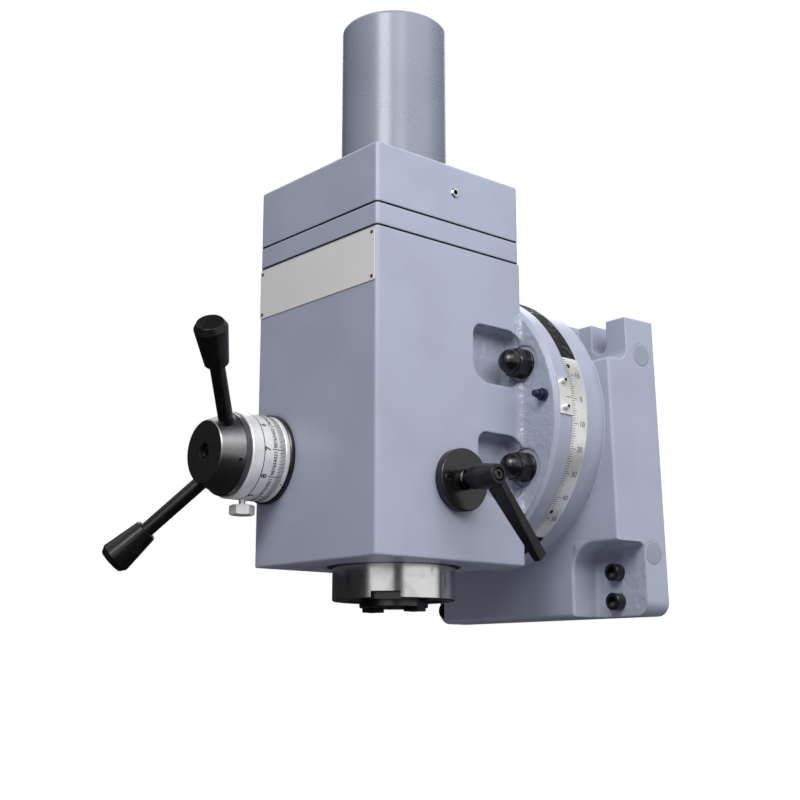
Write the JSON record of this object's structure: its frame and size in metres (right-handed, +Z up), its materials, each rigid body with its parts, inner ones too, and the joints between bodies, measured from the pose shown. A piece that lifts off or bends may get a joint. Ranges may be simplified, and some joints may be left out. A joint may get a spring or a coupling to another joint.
{
  "type": "vertical milling head",
  "caption": "Swivelling vertical milling head on a ram bracket, with a sliding quill, geared spindle drive, hand feed with graduated dial, angle scale and quill lock",
  "frame": {"origin": "centre of the bracket's rear face, on the swivel axis, at the mouth of the ram pilot bore", "axes": "+Z up along the upright spindle, head faces -Y, swivel axis along +Y towards the ram, +X to the right when seen from the front"},
  "size_m": [0.3367, 0.5001, 0.6379],
  "materials": {
    "blue_paint": "semi-gloss blue-grey machine paint on cast iron",
    "black_steel": "black-oxide steel, satin",
    "satin_metal": "satin turned metal",
    "plate_metal": "thin engraved plate",
    "black_plastic": "moulded grip",
    "bronze": "machined bronze",
    "felt": "oiled felt",
    "bright_steel": "ground and turned steel"
  },
  "bodies": {
    "bracket": {"ram_bracket": "blue_paint", "pivot_bush": "bronze", "angle_scale_band": "plate_metal", "scale_rivets": "bright_steel", "bracket_screws": "black_steel", "cast_plugs": "blue_paint"},
    "head": {"head_body": "blue_paint", "spacer_plate": "blue_paint", "top_cover": "blue_paint", "drawbar_cover": "blue_paint", "cover_screws": "black_steel", "name_plate": "plate_metal", "name_plate_rivets": "bright_steel", "clamp_t_bolts": "black_steel", "clamp_washers": "bright_steel", "clamp_nuts": "black_steel", "zero_index_plate": "plate_metal", "index_plate_screws": "bright_steel", "oil_nipple": "blue_paint", "quill_wiper": "felt", "lock_flange": "black_steel", "lock_bush": "bright_steel", "lock_flange_screws": "black_steel", "feed_shaft_bush": "black_steel", "rear_feed_bush": "bronze", "dial_index_ring": "satin_metal", "sleeve_bearings": "bright_steel", "bearing_spacer": "bright_steel", "bearing_retainer": "bright_steel", "input_bearings": "bright_steel", "input_bearing_cover": "bright_steel", "bearing_cover_screws": "bright_steel"},
    "input_drive": {"input_shaft": "bright_steel", "bevel_pinion": "bright_steel", "drive_coupling": "bright_steel"},
    "sleeve_drive": {"drive_sleeve": "bright_steel", "bevel_gear": "bright_steel", "sleeve_lock_nut": "bright_steel"},
    "quill_slide": {"quill": "bright_steel", "lower_spindle_bearings": "bright_steel", "upper_spindle_bearing": "bright_steel", "quill_bearing_cap": "bright_steel"},
    "spindle_rotor": {"spindle": "bright_steel", "drive_keys": "black_steel", "key_screws": "black_steel", "spindle_lock_nut": "bright_steel"},
    "drawbar_rod": {"drawbar": "bright_steel"},
    "feed_handle": {"feed_pinion_shaft": "bright_steel", "handle_hub": "black_steel", "handle_arms": "black_steel", "handle_knobs": "black_plastic", "hub_screw": "black_steel", "hub_set_screw": "black_steel"},
    "dial": {"graduated_dial": "satin_metal"},
    "dial_lock": {"dial_lock_screw": "satin_metal"},
    "lock_handle": {"lock_stud": "black_steel", "brass_tip": "bronze", "lock_lever": "black_steel", "lever_screw": "black_steel"}
  },
  "joints": [
    {"name": "head_swivel", "type": "hinge", "parent": "bracket", "child": "head", "pos_m": [0, 0, 0], "axis": [0, 1, 0], "range_deg": [-50, 50]},
    {"name": "quill_feed", "type": "slide", "parent": "head", "child": "quill_slide", "axis": [0, 0, -1], "range_m": [0, 0.06]},
    {"name": "feed_handle_turn", "type": "hinge", "parent": "head", "child": "feed_handle", "pos_m": [-0.0745, 0, -0.045], "axis": [0, 1, 0], "range_deg": [0, 230]},
    {"name": "spindle_spin", "type": "hinge", "parent": "quill_slide", "child": "spindle_rotor", "pos_m": [0, -0.231, 0], "axis": [0, 0, 1], "continuous": true},
    {"name": "drawbar_turn", "type": "hinge", "parent": "spindle_rotor", "child": "drawbar_rod", "pos_m": [0, -0.231, 0], "axis": [0, 0, 1], "continuous": true},
    {"name": "sleeve_spin", "type": "hinge", "parent": "head", "child": "sleeve_drive", "pos_m": [0, -0.231, 0], "axis": [0, 0, 1], "continuous": true},
    {"name": "input_spin", "type": "hinge", "parent": "head", "child": "input_drive", "pos_m": [0, 0, 0], "axis": [0, 1, 0], "continuous": true},
    {"name": "dial_zero", "type": "hinge", "parent": "feed_handle", "child": "dial", "pos_m": [-0.0745, 0, -0.045], "axis": [0, 1, 0], "continuous": true},
    {"name": "dial_lock_turn", "type": "hinge", "parent": "dial", "child": "dial_lock", "pos_m": [-0.0745, -0.3675, -0.09], "axis": [0, 0, -1], "continuous": true},
    {"name": "quill_lock_turn", "type": "hinge", "parent": "head", "child": "lock_handle", "pos_m": [0.0975, -0.231, -0.0755], "axis": [-1, 0, 0], "range_deg": [0, 90]}
  ],
  "couplings": [
    {"joint": "feed_handle_turn", "follows": "quill_feed", "rad_per_m": 66.667},
    {"joint": "sleeve_spin", "follows": "spindle_spin", "ratio": 1},
    {"joint": "input_spin", "follows": "spindle_spin", "ratio": -1.5}
  ]
}
